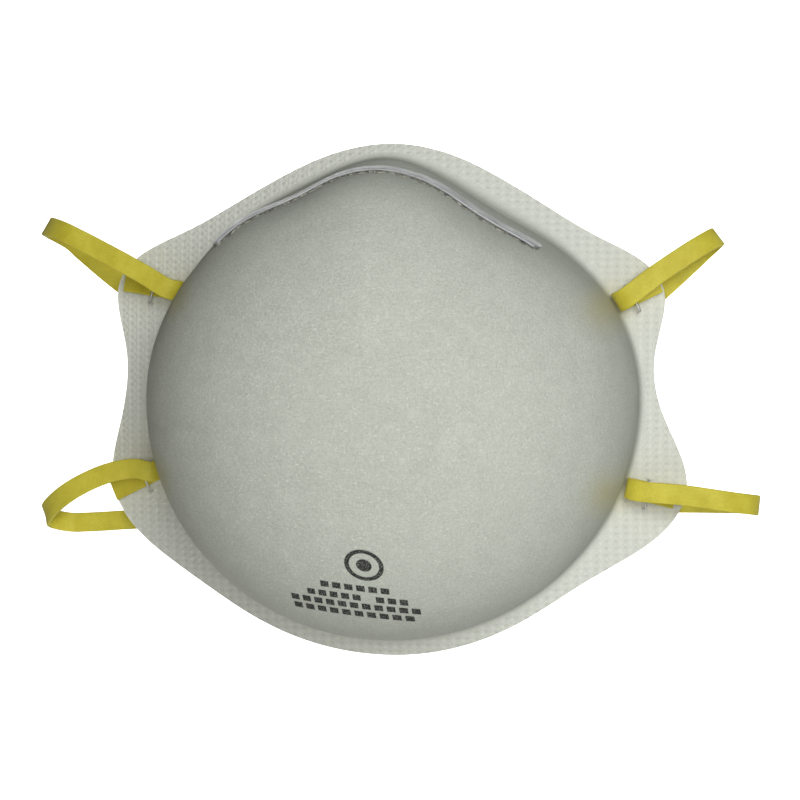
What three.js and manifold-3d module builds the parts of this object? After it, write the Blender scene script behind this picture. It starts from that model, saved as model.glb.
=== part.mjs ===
// Disposable dust mask: a moulded four-layer cup with a pressed flange, an aluminium nose clip,
// a foam nose pad and two flat elastic straps stapled to the flange.
// Millimetres. +Z is up (nose), the cup bulges toward -Y and the face side is +Y.
// The origin is the centre of the face opening.
import * as THREE from 'three';
import { mergeVertices } from 'three/addons/utils/BufferGeometryUtils.js';
import Module from 'manifold-3d';

const wasm = await Module();
wasm.setup();

// Cup
const CUP_DEPTH = 50;
const HALF_WIDTH = 61.7;
const SHOULDER_HEIGHT = 54;
const CHIN_HEIGHT = 59.2;
const GABLE_HEIGHT = 6.8;
const GABLE_SPREAD = THREE.MathUtils.degToRad(52);
const GABLE_ROUNDING = THREE.MathUtils.degToRad(5);
const FULLNESS = 2.2;
const FOOT_RADIUS = 2;
const SIDE_SETBACK = 7;
const NOSE_LEAD = 1;

// Dents around the nose, by angle off the top: how far the foot and the dome just in front of it come
// in, and how much softer the foot is
const NOSE_DENTS = [
  { angle: -22, spread: 14, foot: 1.8, dome: 2, fillet: 1 },
  { angle: 0, spread: 12, foot: 0, dome: 2, fillet: 0 },
  { angle: 29, spread: 22, foot: 4.8, dome: 1.6, fillet: 2 },
];

// Flange
const FLANGE_RADIUS = 64.2;
const FLANGE_SLOPE = 0.3;
const SIDE_TRIM = { left: 5.2, right: 0.6 };
const TABS = [
  { centre: 23.5, left: 9.9, right: 8.6, above: 12.6, below: 10.8 },
  { centre: -19, left: 9, right: 12.5, above: 13.3, below: 18 },
];

// Layers: depth of each face below the outside of the cup, halved where the flange is pressed
const LAYERS = {
  outer_cover: { from: 0, to: 0.5 },
  filter_media: { from: 0.6, to: 1.1 },
  support_shell: { from: 1.2, to: 2.0 },
  face_liner: { from: 2.1, to: 2.5 },
};
const CUP_THICKNESS = 2.5;
const PRESSED = 0.5;
const FLANGE_THICKNESS = CUP_THICKNESS * PRESSED;
const SEGMENTS = 60;
const DOME_RINGS = [0, 0.17, 0.33, 0.48, 0.62, 0.74, 0.81, 0.87, 0.94, 1];
const FLANGE_RINGS = [1.5, 2, 3];

// Nose clip and foam
const CLIP_SPAN = 93;
const CLIP_TURN = 0.4;
const CLIP_WIDTH = 5;
const CLIP_THICKNESS = 0.7;
const CLIP_Y = -16.5;
const GLUE_THICKNESS = 0.25;
const GLUE_GAP = 0.2;
const FOAM_SPAN = 82;
const FOAM_WIDTH = 12;
const FOAM_THICKNESS = 3;
const FOAM_Y = -13;
const TAPE_THICKNESS = 0.2;
const TAPE_GAP = 1.3;
const FIT_GAP = 0.3;
const TAIL_GAP = 0.4;

// Straps
const STRAP_WIDTH = 5.1;
const STRAP_THICKNESS = 0.9;
const FRONT_FOLD_RADIUS = 2.2;
const REAR_Y = 15.5;
const LOOP_Y = 9.25;
const SPAN_HALF = 55;
const SPAN_FLAT = 30;
const SPAN_END_Y = 15.9;

// Staples
const WIRE = 0.55;
const CROWN = 8;
const CLINCH = 2.6;
const HOLE_RADIUS = 0.62;

const Y_AXIS = new THREE.Vector3(0, 1, 0);
const Z_AXIS = new THREE.Vector3(0, 0, 1);
const deg = THREE.MathUtils.degToRad;

// ---- Cup surface -------------------------------------------------------------------------------

// Radius where the cup wall meets the flange
function ovalRadius(theta) {
  const half = Math.sin(theta) >= 0 ? SHOULDER_HEIGHT : CHIN_HEIGHT;
  const oval = HALF_WIDTH * half / Math.hypot(half * Math.cos(theta), HALF_WIDTH * Math.sin(theta));
  const fromTop = Math.abs(Math.atan2(Math.cos(theta), Math.sin(theta)));
  const rounded = Math.hypot(fromTop, GABLE_ROUNDING) - GABLE_ROUNDING;
  return oval + GABLE_HEIGHT * Math.max(0, 1 - rounded / GABLE_SPREAD) ** 1.3;
}

// Sum of the nose dents at one angle, for one of their measures
function noseDent(theta, measure) {
  const angle = THREE.MathUtils.radToDeg(Math.atan2(Math.cos(theta), Math.sin(theta)));
  const at = (dent) => dent[measure] * Math.exp(-(((angle - dent.angle) / dent.spread) ** 2));
  return NOSE_DENTS.reduce((sum, dent) => sum + at(dent), 0);
}

// Radius of the trimmed edge, with two strap tabs on each side; the trim sits a little to the left
function edgeRadius(theta) {
  const angle = THREE.MathUtils.radToDeg(Math.atan2(Math.sin(theta), Math.abs(Math.cos(theta))));
  const side = Math.cos(theta) < 0 ? 'left' : 'right';
  let radius = FLANGE_RADIUS + SIDE_TRIM[side] * Math.cos(theta) ** 2;
  radius -= 2.9 * Math.exp(-(((angle - 58) / 20) ** 2));
  for (const tab of TABS) {
    const width = angle > tab.centre ? tab.above : tab.below;
    radius += tab[side] * Math.exp(-(((angle - tab.centre) / width) ** 2));
  }
  return radius;
}

// Depth of the hollows beside the nose, at full strength

// Front face of the flange
function flangeY(theta, radius) {
  const rim = SIDE_SETBACK * Math.cos(theta) ** 2 - NOSE_LEAD;
  return rim + FLANGE_SLOPE * (radius - ovalRadius(theta));
}

// Outside of the mask at one angle, as [radius, y]: the dome for q from 0 to 1, the fillet at its
// foot up to 2, the flange up to 3
function profile(theta, q) {
  const foot = ovalRadius(theta) - noseDent(theta, 'foot');
  const fillet = FOOT_RADIUS + noseDent(theta, 'fillet');
  const turn = Math.atan2(1, FLANGE_SLOPE);
  const filletEnd = foot + fillet * (1 - Math.cos(turn));
  const footY = flangeY(theta, filletEnd) - fillet * Math.sin(turn);
  if (q <= 1) {
    const arc = Math.max(0, q) * Math.PI / 2;
    const reach = Math.sin(arc) ** (2 / FULLNESS);
    const rise = Math.max(0, Math.cos(arc)) ** (2 / FULLNESS);
    const { smoothstep } = THREE.MathUtils;
    const dent = noseDent(theta, 'dome') * smoothstep(q, 0.56, 0.87) * (1 - smoothstep(q, 0.87, 1));
    return [foot * reach - dent, footY * reach ** 3 - CUP_DEPTH * rise];
  }
  if (q <= 2) {
    const arc = (q - 1) * turn;
    return [foot + fillet * (1 - Math.cos(arc)), footY + fillet * Math.sin(arc)];
  }
  const radius = THREE.MathUtils.lerp(filletEnd, edgeRadius(theta), q - 2);
  return [radius, flangeY(theta, radius)];
}

// Point below the outside of the mask by a depth, measured square to the profile
function skin(theta, q, depth) {
  const step = 1e-4;
  const [radius, y] = profile(theta, q);
  const [r0, y0] = profile(theta, Math.max(0, q - step));
  const [r1, y1] = profile(theta, Math.min(3, q + step));
  const length = q === 0 ? 1 : Math.hypot(r1 - r0, y1 - y0);
  const normalR = q === 0 ? 0 : (y1 - y0) / length;
  const normalY = q === 0 ? -1 : -(r1 - r0) / length;
  const pressed = THREE.MathUtils.lerp(1, PRESSED, THREE.MathUtils.clamp(q - 1, 0, 1));
  const sunk = depth > 0 && depth <= CUP_THICKNESS ? depth * pressed : depth;
  const r = radius - normalR * sunk;
  return new THREE.Vector3(r * Math.cos(theta), y - normalY * sunk, r * Math.sin(theta));
}

// q on the dome at a given y
function domeAt(theta, y) {
  let low = 0;
  let high = 1;
  for (let i = 0; i < 30; i += 1) {
    const middle = (low + high) / 2;
    if (profile(theta, middle)[1] < y) low = middle;
    else high = middle;
  }
  return (low + high) / 2;
}

// ---- Solids ------------------------------------------------------------------------------------

function geometryFrom(points, index) {
  let volume = 0;
  for (let i = 0; i < index.length; i += 3) {
    const [a, b, c] = [points[index[i]], points[index[i + 1]], points[index[i + 2]]];
    volume += a.dot(b.clone().cross(c));
  }
  const geometry = new THREE.BufferGeometry();
  const positions = points.flatMap((p) => p.toArray());
  geometry.setAttribute('position', new THREE.Float32BufferAttribute(positions, 3));
  geometry.setIndex(volume < 0 ? [...index].reverse() : index);
  return geometry;
}

// Closed solid through a row of sections with equal corner counts
function loft(sections) {
  const count = sections[0].length;
  const index = [];
  for (let s = 0; s + 1 < sections.length; s += 1) {
    for (let i = 0; i < count; i += 1) {
      const a = s * count + i;
      const b = s * count + (i + 1) % count;
      index.push(a, b, b + count, a, b + count, a + count);
    }
  }
  const last = (sections.length - 1) * count;
  for (let i = 1; i + 1 < count; i += 1) {
    index.push(0, i + 1, i, last, last + i, last + i + 1);
  }
  return geometryFrom(sections.flat(), index);
}

// Cup-shaped sheet between two depths
function layer({ from, to }) {
  const rings = [...DOME_RINGS, ...FLANGE_RINGS];
  const points = [];
  const index = [];
  for (const depth of [from, to]) {
    points.push(skin(0, 0, depth));
    for (const q of rings.slice(1)) {
      for (let i = 0; i < SEGMENTS; i += 1) points.push(skin(i / SEGMENTS * 2 * Math.PI, q, depth));
    }
  }
  const inner = points.length / 2;
  const at = (ring, i) => (ring === 0 ? 0 : 1 + (ring - 1) * SEGMENTS + i % SEGMENTS);
  const rim = rings.length - 1;
  for (let i = 0; i < SEGMENTS; i += 1) {
    for (let ring = 0; ring < rim; ring += 1) {
      const [a, b, c, d] = [at(ring, i), at(ring, i + 1), at(ring + 1, i + 1), at(ring + 1, i)];
      index.push(a, d, c, inner + a, inner + c, inner + d);
      if (ring > 0) index.push(a, c, b, inner + a, inner + b, inner + c);
    }
    const [a, b] = [at(rim, i), at(rim, i + 1)];
    index.push(a, inner + a, b, b, inner + a, inner + b);
  }
  return geometryFrom(points, index);
}

// Strip that follows the cup around the nose; positive lift is outside, negative inside
function noseStrip(span, width, y, lift, thickness) {
  const sections = [];
  const steps = 28;
  for (let i = 0; i <= steps; i += 1) {
    const theta = deg(90 + CLIP_TURN + span / 2 - span * i / steps);
    const low = domeAt(theta, y - width / 2);
    const high = domeAt(theta, y + width / 2);
    const near = lift > 0 ? -lift : CUP_THICKNESS - lift;
    const far = lift > 0 ? near - thickness : near + thickness;
    const corners = [[low, near], [high, near], [high, far], [low, far]];
    sections.push(corners.map(([q, depth]) => skin(theta, q, depth)));
  }
  return loft(sections);
}

function toManifold(geometry) {
  const bare = geometry.clone();
  bare.deleteAttribute('normal');
  bare.deleteAttribute('uv');
  const merged = mergeVertices(bare, 1e-5);
  const vertProperties = new Float32Array(merged.attributes.position.array);
  const triVerts = new Uint32Array(merged.index.array);
  return new wasm.Manifold(new wasm.Mesh({ numProp: 3, vertProperties, triVerts }));
}

function cut(geometry, tools) {
  let solid = toManifold(geometry);
  for (const tool of tools) solid = solid.subtract(toManifold(tool));
  const mesh = solid.getMesh();
  const result = new THREE.BufferGeometry();
  result.setAttribute('position', new THREE.Float32BufferAttribute(mesh.vertProperties, 3));
  result.setIndex([...mesh.triVerts]);
  return result;
}

// ---- Straps ------------------------------------------------------------------------------------

// Lean of the flange toward +Y along a direction in the XZ plane
function flangeLean(x, z, direction) {
  const y = (dx, dz) => flangeY(Math.atan2(z + dz, x + dx), Math.hypot(x + dx, z + dz));
  return (y(direction.x, direction.z) - y(-direction.x, -direction.z)) / 2;
}

// A station is [x, y, z, angle of the width above +X in the XZ plane, lean of the width along Y]
function width([, , , angle, lean = 0]) {
  return new THREE.Vector3(Math.cos(deg(angle)), lean, Math.sin(deg(angle))).normalize();
}

// Flat band through its stations: the corners keep the band's true width where a cut is oblique
function band(stations, steps) {
  const through = stations.map(([x, y, z]) => new THREE.Vector3(x, y, z));
  const places = new THREE.CatmullRomCurve3(through, false, 'centripetal');
  const widths = new THREE.CatmullRomCurve3(stations.map(width));
  const sections = [];
  for (let i = 0; i <= steps; i += 1) {
    const u = i / steps;
    sections.push(bandSection(places.getPoint(u), places.getTangent(u), widths.getPoint(u).normalize()));
  }
  return loft(sections);
}

function bandSection(place, along, across) {
  const square = new THREE.Vector3().crossVectors(along, across);
  const w = across.clone().multiplyScalar(STRAP_WIDTH / 2 / square.length());
  const t = square.normalize().multiplyScalar(STRAP_THICKNESS / 2);
  const corners = [[1, 1], [-1, 1], [-1, -1], [1, -1]];
  return corners.map(([a, b]) => place.clone().addScaledVector(w, a).addScaledVector(t, b));
}

// Station lying on the front of the flange
function onFlange([x, z], angle, lift) {
  const direction = { x: Math.cos(deg(angle)), z: Math.sin(deg(angle)) };
  const y = flangeY(Math.atan2(z, x), Math.hypot(x, z)) - lift;
  return [x, y, z, angle, flangeLean(x, z, direction)];
}

// Stapled end of a strap: the tail on the flange, the fold against the cup, the front leg and the
// loop that turns behind the mask, up to the plane where the moving leg starts
function strapEnd({ tail, fold, front, rear }) {
  const lift = TAIL_GAP + STRAP_THICKNESS / 2;
  const inward = new THREE.Vector2(fold.at[0] - tail.at[0], fold.at[1] - tail.at[1]).normalize();
  const x = fold.at[0] - inward.x * FRONT_FOLD_RADIUS;
  const z = fold.at[1] - inward.y * FRONT_FOLD_RADIUS;
  const low = onFlange([x, z], fold.angle, lift);
  const half = [(tail.at[0] + x) / 2, (tail.at[1] + z) / 2];
  return [
    onFlange(tail.at, tail.angle, lift),
    onFlange(half, (tail.angle + fold.angle) / 2, lift),
    low,
    [fold.at[0], low[1] - FRONT_FOLD_RADIUS, fold.at[1], fold.angle],
    [x, low[1] - 2 * FRONT_FOLD_RADIUS, z, fold.angle],
    ...front,
    ...rear,
  ];
}

const STRAP_ENDS = {
  upper_strap_left_end: {
    tail: { at: [-70.4, 30], angle: 79 },
    fold: { at: [-54.5, 27.5], angle: 71 },
    front: [[-63.5, 0.9, 31.7, 67], [-72, 1.2, 36.3, 65], [-85.6, 3, 42.9, 64], [-91.3, LOOP_Y, 44.2, 58]],
    rear: [[-86.8, REAR_Y, 40.9, 52], [-83.5, REAR_Y, 38, 90]],
  },
  upper_strap_right_end: {
    tail: { at: [66.3, 29.2], angle: 116 },
    fold: { at: [56.4, 24.3], angle: 121 },
    front: [[66.1, 1.2, 31.2, 127], [75.8, 3, 37.7, 126], [80.8, LOOP_Y, 40.6, 127]],
    rear: [[77.2, REAR_Y, 37.2, 132], [74.5, REAR_Y, 34.6, 90]],
  },
  lower_strap_left_end: {
    tail: { at: [-73.8, -24.4], angle: 120 },
    fold: { at: [-59.7, -17.7], angle: 99 },
    front: [
      [-65.5, 0.9, -17.9, 97], [-72, 1.2, -18.8, 100], [-80.5, 2.2, -22.2, 112],
      [-87.6, 4.6, -26.6, 110], [-92, LOOP_Y, -31, 106],
    ],
    rear: [[-87.6, REAR_Y - 0.4, -33.2, 95], [-83.5, REAR_Y, -33.2, 90]],
  },
  lower_strap_right_end: {
    tail: { at: [70.6, -24.6], angle: 81 },
    fold: { at: [59, -21.6], angle: 80 },
    front: [[73.6, 1.2, -23.2, 83], [85, 3, -24.9, 83], [91.1, LOOP_Y, -26.1, 84]],
    rear: [[86, REAR_Y, -26.2, 88], [83.5, REAR_Y, -26.2, 90]],
  },
};

// Moving legs behind the mask, from the loop to the span
const STRAP_LEGS = {
  upper_strap_left_leg: [
    [-83, REAR_Y, 37.6, 90], [-71.5, REAR_Y, 28.4, 50], [-61, 15.6, 22.6, 57], [-55.5, SPAN_END_Y, 19.3, 90],
  ],
  upper_strap_right_leg: [
    [74, REAR_Y, 34.1, 90], [64.7, REAR_Y, 25.7, 132], [59, 15.7, 21.6, 126], [55.5, SPAN_END_Y, 19.3, 90],
  ],
  lower_strap_left_leg: [
    [-83, REAR_Y, -33.2, 90], [-69, REAR_Y, -32.2, 90], [-55.5, SPAN_END_Y, -31.4, 90],
  ],
  lower_strap_right_leg: [
    [83, REAR_Y, -26.2, 90], [69, REAR_Y, -26.3, 90], [55.5, SPAN_END_Y, -27.3, 90],
  ],
};

const STRAP_SPANS = {
  upper_strap_span: { middle: [17.5, 12.8], leftZ: 19, rightZ: 19 },
  lower_strap_span: { middle: [19, -31], leftZ: -31.4, rightZ: -27.3 },
};

// Span between the legs, straight and flat across the middle and curving up to both ends
function strapSpan({ middle: [middleY, middleZ], leftZ, rightZ }) {
  const sections = [];
  const curve = (side) => [1, 0.8, 0.6, 0.4, 0.2, 0].map((t) => side * t);
  for (const t of [...curve(-1), ...curve(1).reverse()]) {
    const side = sections.length < 6 ? -1 : 1;
    const endZ = side < 0 ? leftZ : rightZ;
    const run = SPAN_HALF - SPAN_FLAT;
    const place = new THREE.Vector3(
      side * SPAN_FLAT + t * run,
      middleY + (SPAN_END_Y - middleY) * t * t,
      middleZ + (endZ - middleZ) * t * t,
    );
    const along = new THREE.Vector3(run, 2 * t * (SPAN_END_Y - middleY), 2 * t * (endZ - middleZ));
    sections.push(bandSection(place, along.normalize(), Z_AXIS));
  }
  return loft(sections);
}

// ---- Staples -----------------------------------------------------------------------------------

const STAPLES = {
  staple_upper_left: { at: [-61.6, 27.8], angle: 73 },
  staple_upper_right: { at: [59.8, 25.3], angle: 116 },
  staple_lower_left: { at: [-64, -20.4], angle: 108 },
  staple_lower_right: { at: [63.4, -23.4], angle: 79 },
};

// Local frame on the flange: crown direction, front-facing normal and the direction along the band
function stapleFrame({ at: [x, z], angle }) {
  const direction = new THREE.Vector3(Math.cos(deg(angle)), 0, Math.sin(deg(angle)));
  const square = new THREE.Vector3(-direction.z, 0, direction.x);
  const crown = direction.clone().addScaledVector(Y_AXIS, flangeLean(x, z, direction)).normalize();
  const side = square.clone().addScaledVector(Y_AXIS, flangeLean(x, z, square));
  const normal = new THREE.Vector3().crossVectors(crown, side).normalize();
  if (normal.y > 0) normal.negate();
  const along = new THREE.Vector3().crossVectors(crown, normal);
  const origin = new THREE.Vector3(x, flangeY(Math.atan2(z, x), Math.hypot(x, z)), z);
  return new THREE.Matrix4().makeBasis(crown, normal, along).setPosition(origin);
}

function staple(spec) {
  const half = CROWN / 2;
  const top = TAIL_GAP + STRAP_THICKNESS + FIT_GAP + WIRE;
  const bottom = -(FLANGE_THICKNESS + FIT_GAP + WIRE);
  const outline = new THREE.Shape([
    new THREE.Vector2(-half, top),
    new THREE.Vector2(half, top),
    new THREE.Vector2(half, bottom),
    new THREE.Vector2(half - CLINCH, bottom),
    new THREE.Vector2(half - CLINCH, bottom + WIRE),
    new THREE.Vector2(half - WIRE, bottom + WIRE),
    new THREE.Vector2(half - WIRE, top - WIRE),
    new THREE.Vector2(WIRE - half, top - WIRE),
    new THREE.Vector2(WIRE - half, bottom + WIRE),
    new THREE.Vector2(CLINCH - half, bottom + WIRE),
    new THREE.Vector2(CLINCH - half, bottom),
    new THREE.Vector2(-half, bottom),
  ].reverse());
  const geometry = new THREE.ExtrudeGeometry(outline, { depth: WIRE, bevelEnabled: false });
  return geometry.translate(0, 0, -WIRE / 2).applyMatrix4(stapleFrame(spec));
}

// Holes that the staple legs pierce
function stapleHoles(spec) {
  return [-1, 1].map((side) => {
    const hole = new THREE.CylinderGeometry(HOLE_RADIUS, HOLE_RADIUS, 4 * FLANGE_THICKNESS, 6);
    return hole.translate(side * (CROWN - WIRE) / 2, 0, 0).applyMatrix4(stapleFrame(spec));
  });
}

// ---- Assembly ----------------------------------------------------------------------------------

const group = new THREE.Group();

function add(name, geometry, color, roughness, metalness = 0) {
  const mesh = new THREE.Mesh(geometry, new THREE.MeshStandardMaterial({ color, roughness, metalness }));
  mesh.name = name;
  group.add(mesh);
}

const FLEECE = {
  outer_cover: 0xc6c8bd,
  filter_media: 0xeef0ee,
  support_shell: 0xe2e2dc,
  face_liner: 0xf2f2ee,
};
const holes = Object.values(STAPLES).flatMap(stapleHoles);
for (const [name, depths] of Object.entries(LAYERS)) add(name, cut(layer(depths), holes), FLEECE[name], 0.95);

const clipLift = 2 * GLUE_GAP + GLUE_THICKNESS;
const glueStrip = noseStrip(CLIP_SPAN - 1, CLIP_WIDTH - 0.4, CLIP_Y, GLUE_GAP, GLUE_THICKNESS);
add('nose_clip_adhesive', glueStrip, 0xd8d2b8, 0.5);
add('nose_clip', noseStrip(CLIP_SPAN, CLIP_WIDTH, CLIP_Y, clipLift, CLIP_THICKNESS), 0xb8babb, 0.35, 1);

const foamLift = -(TAPE_GAP + TAPE_THICKNESS + 2 * FIT_GAP);
const tapeStrip = noseStrip(FOAM_SPAN - 2, FOAM_WIDTH - 2, FOAM_Y, -TAPE_GAP, TAPE_THICKNESS);
add('nose_foam_tape', tapeStrip, 0xe9e6da, 0.6);
add('nose_foam', noseStrip(FOAM_SPAN, FOAM_WIDTH, FOAM_Y, foamLift, FOAM_THICKNESS), 0x4a4c50, 1);

for (const [name, spec] of Object.entries(STAPLES)) add(name, staple(spec), 0xb9bcc0, 0.3, 1);

const YELLOW = 0xd8cc3a;
for (const [name, spec] of Object.entries(STRAP_ENDS)) add(name, band(strapEnd(spec), 40), YELLOW, 0.85);
for (const [name, stations] of Object.entries(STRAP_LEGS)) add(name, band(stations, 10), YELLOW, 0.85);
for (const [name, spec] of Object.entries(STRAP_SPANS)) add(name, strapSpan(spec), YELLOW, 0.85);

export default group;
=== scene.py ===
"""Disposable dust mask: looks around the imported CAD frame. Metres, +Z up, cup toward -Y."""

import math

import bpy
import numpy as np
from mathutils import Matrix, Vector


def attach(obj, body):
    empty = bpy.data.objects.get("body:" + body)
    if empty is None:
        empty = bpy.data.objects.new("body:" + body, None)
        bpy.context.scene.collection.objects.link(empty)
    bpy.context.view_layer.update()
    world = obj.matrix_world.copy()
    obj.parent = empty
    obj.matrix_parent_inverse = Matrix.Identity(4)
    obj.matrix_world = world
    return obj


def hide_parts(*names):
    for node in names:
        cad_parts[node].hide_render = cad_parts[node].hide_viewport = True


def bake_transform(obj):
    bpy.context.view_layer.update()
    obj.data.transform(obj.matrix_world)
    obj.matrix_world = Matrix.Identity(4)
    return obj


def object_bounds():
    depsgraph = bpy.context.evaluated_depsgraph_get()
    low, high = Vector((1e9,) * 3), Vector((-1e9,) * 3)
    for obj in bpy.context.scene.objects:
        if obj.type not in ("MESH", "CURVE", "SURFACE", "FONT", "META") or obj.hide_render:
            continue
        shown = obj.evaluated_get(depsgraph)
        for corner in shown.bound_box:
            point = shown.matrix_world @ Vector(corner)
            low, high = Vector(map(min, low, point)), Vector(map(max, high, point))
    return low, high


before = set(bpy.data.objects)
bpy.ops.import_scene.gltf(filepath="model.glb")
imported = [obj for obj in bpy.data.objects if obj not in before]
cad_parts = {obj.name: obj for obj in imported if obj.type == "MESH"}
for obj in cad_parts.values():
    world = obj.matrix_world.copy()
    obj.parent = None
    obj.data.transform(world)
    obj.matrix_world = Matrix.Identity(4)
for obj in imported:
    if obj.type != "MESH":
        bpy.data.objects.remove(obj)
CAD_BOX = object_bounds()
MM = 0.001

# Cup, with the same outside as in the CAD model
CUP_DEPTH = 50 * MM
HALF_WIDTH = 61.7 * MM
SHOULDER_HEIGHT = 54 * MM
CHIN_HEIGHT = 59.2 * MM
GABLE_HEIGHT = 6.8 * MM
GABLE_SPREAD = math.radians(52)
GABLE_ROUNDING = math.radians(5)
GABLE_POWER = 1.3
FULLNESS = 2.2
FOOT_RADIUS = 2 * MM
SIDE_SETBACK = 7 * MM
NOSE_LEAD = 1 * MM
RIM_Q = 3

# Flange: an oval with narrow waists under the nose and one tab for each staple; angles in degrees
FLANGE_RADIUS = 64.2 * MM
FLANGE_SLOPE = 0.3
WAIST = {"angle": 58, "spread": 20, "depth": 2.9 * MM}
SIDE_TRIM = (5.2 * MM, 0.6 * MM)
TABS = (
    {"centre": 23.5, "left": 9.9 * MM, "right": 8.6 * MM, "above": 12.6, "below": 10.8},
    {"centre": -19, "left": 9 * MM, "right": 12.5 * MM, "above": 13.3, "below": 18},
)

# Dents around the nose, by angle off the top: how far the foot and the dome in front of it come
# in, how much softer the foot is, and where on the dome the dent starts and is deepest
NOSE_DENTS = [
    {"angle": -22, "spread": 14, "foot": 1.8 * MM, "dome": 2 * MM, "fillet": 1 * MM},
    {"angle": 0, "spread": 12, "foot": 0, "dome": 2 * MM, "fillet": 0},
    {"angle": 29, "spread": 22, "foot": 4.8 * MM, "dome": 1.6 * MM, "fillet": 2 * MM},
]
DENT_START_Q = 0.56
DENT_DEEPEST_Q = 0.87

# Layers: depth of each face below the outside of the cup, halved where the flange is pressed
CUP_THICKNESS = 2.5 * MM
PRESSED = 0.5
LAYERS = {
    "outer_cover": (0, 0.5 * MM),
    "filter_media": (0.6 * MM, 1.1 * MM),
    "support_shell": (1.2 * MM, 2.0 * MM),
    "face_liner": (2.1 * MM, 2.5 * MM),
}

# Pressed pattern of the flange, and the q over which it fades in and out
EMBOSS_PITCH = (2.44 * MM, 1.75 * MM)
EMBOSS_DEPTH = 0.5 * MM
EMBOSS_IN = (1.9, 2.2)
EMBOSS_OUT = (2.95, 3.0)
GROOVE_DEPTH = 0.14 * MM

# Fold across one cheek, in millimetres
CREASE_Z = -6.2
CREASE_SWAY = 1.2
CREASE_HALF_WIDTH = 1.3
CREASE_DEPTH = 0.28

# Painted yellow light beside each strap end: centres (x, z) and spread, in millimetres
STRAP_LIGHT_SPOTS = ((-50, 26), (54, 23), (-55, -18), (55, -22))
STRAP_LIGHT_SPREAD = (4.5, 5)
STRAP_LIGHT_COLOR = (0.52, 0.47, 0.16)

# Nose clip and foam
CLIP_TURN = 0.4
CLIP_Y = -16.5 * MM
FOAM_Y = -13 * MM

# Straps: stations and the lengths without MM are in millimetres
STRAP_WIDTH = 5.1 * MM
STRAP_THICKNESS = 0.9 * MM
STRAP_EDGE_RADIUS = 0.3 * MM
STRAP_STEPS = 14
FRONT_FOLD_RADIUS = 2.2
REAR_Y = 15.5
LOOP_Y = 9.25
SPAN_HALF = 55
SPAN_FLAT = 30
SPAN_END_Y = 15.9
TAIL_LIFT = 0.85

# Staples: wire, and the section of one in millimetres
WIRE = 0.55 * MM
STAPLE_HALF = 3.72
STAPLE_TOP = 1.88
STAPLE_BOTTOM = -1.83
STAPLE_CLINCH = 2.3
STAPLE_CLINCH_RISE = 0.25
STAPLE_BEND = 0.5

# Printed mark, in millimetres: rows of blocks as (blocks per word, middle x, width, z)
PRINT_LIFT = 0.05 * MM
PRINT_TILT = math.radians(-6.5)
MARK_Z = -36.6
MARK_STRETCH = 1.2
MARK_RINGS = ((2.9, 3.8, 64), (0.05, 1.5, 32))
BLOCK_HEIGHT = 1.5
BLOCK_FILL = 0.7
BLOCK_ROWS = (
    ((6,), -2.4, 17, -42.6),
    ((5, 3), -2.2, 24.5, -45.1),
    ((11,), -3.1, 31.5, -47.3),
    ((10,), -3.8, 29.5, -49.5),
)

# Camera and studio, in metres and watts; the sensor is in millimetres
CAMERA_DISTANCE = 0.5
CAMERA_AZIMUTH = math.radians(8)
CAMERA_ELEVATION = math.radians(2)
CAMERA_SHIFT = 2.5 * MM
FRAME_WIDTH = 0.2
SENSOR_WIDTH = 36
WORLD_COLOR = (1, 0.99, 0.9, 1)
WORLD_STRENGTH = 0.05
LIGHTS = (
    {"name": "key", "place": (0.32, -0.73, 0.28), "target": (0, 0, 0), "size": 0.45,
     "power": 4.1, "color": (0.97, 0.99, 1)},
    {"name": "front_fill", "place": (0.05, -0.82, 0.02), "target": (0, 0, 0), "size": 0.25,
     "power": 1.3, "color": (1, 0.99, 0.95)},
    {"name": "backdrop_light", "place": (0, 0.6, 0.25), "target": (0, 1.6, 0), "size": 1,
     "power": 30, "color": (1, 1, 1)},
)
SWEEP_DROP = 260 * MM
SWEEP_HALF_WIDTH = 2.5
SWEEP_FRONT_Y = -1.5
SWEEP_TURN_Y = 1.1
SWEEP_RADIUS = 0.4
SWEEP_TOP = 1.8


# ---- Cup surface -------------------------------------------------------------------------------

def oval_radius(theta):
    """Radius where the cup wall meets the flange: an oval with a rounded gable at the top."""
    half = np.where(np.sin(theta) >= 0, SHOULDER_HEIGHT, CHIN_HEIGHT)
    oval = HALF_WIDTH * half / np.hypot(half * np.cos(theta), HALF_WIDTH * np.sin(theta))
    from_top = np.abs(np.arctan2(np.cos(theta), np.sin(theta)))
    rounded = np.hypot(from_top, GABLE_ROUNDING) - GABLE_ROUNDING
    return oval + GABLE_HEIGHT * np.maximum(0, 1 - rounded / GABLE_SPREAD) ** GABLE_POWER


def edge_radius(theta):
    """Radius of the flange's outer edge."""
    angle = np.degrees(np.arctan2(np.sin(theta), np.abs(np.cos(theta))))
    left = np.cos(theta) < 0
    radius = FLANGE_RADIUS + np.where(left, *SIDE_TRIM) * np.cos(theta) ** 2
    waist = np.exp(-(((angle - WAIST["angle"]) / WAIST["spread"]) ** 2))
    radius = radius - WAIST["depth"] * waist
    for tab in TABS:
        width = np.where(angle > tab["centre"], tab["above"], tab["below"])
        height = np.where(left, tab["left"], tab["right"])
        radius = radius + height * np.exp(-(((angle - tab["centre"]) / width) ** 2))
    return radius


def nose_dent(theta, measure):
    """One measure of the nose dents, summed at angles theta."""
    angle = np.degrees(np.arctan2(np.cos(theta), np.sin(theta)))
    return sum(dent[measure] * np.exp(-(((angle - dent["angle"]) / dent["spread"]) ** 2))
               for dent in NOSE_DENTS)


def smooth(x, low, high):
    """0 below low, 1 above high, and an eased step between them."""
    t = np.clip((x - low) / (high - low), 0, 1)
    return t * t * (3 - 2 * t)


def flange_y(theta, radius):
    rim = SIDE_SETBACK * np.cos(theta) ** 2 - NOSE_LEAD
    return rim + FLANGE_SLOPE * (radius - oval_radius(theta))


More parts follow.
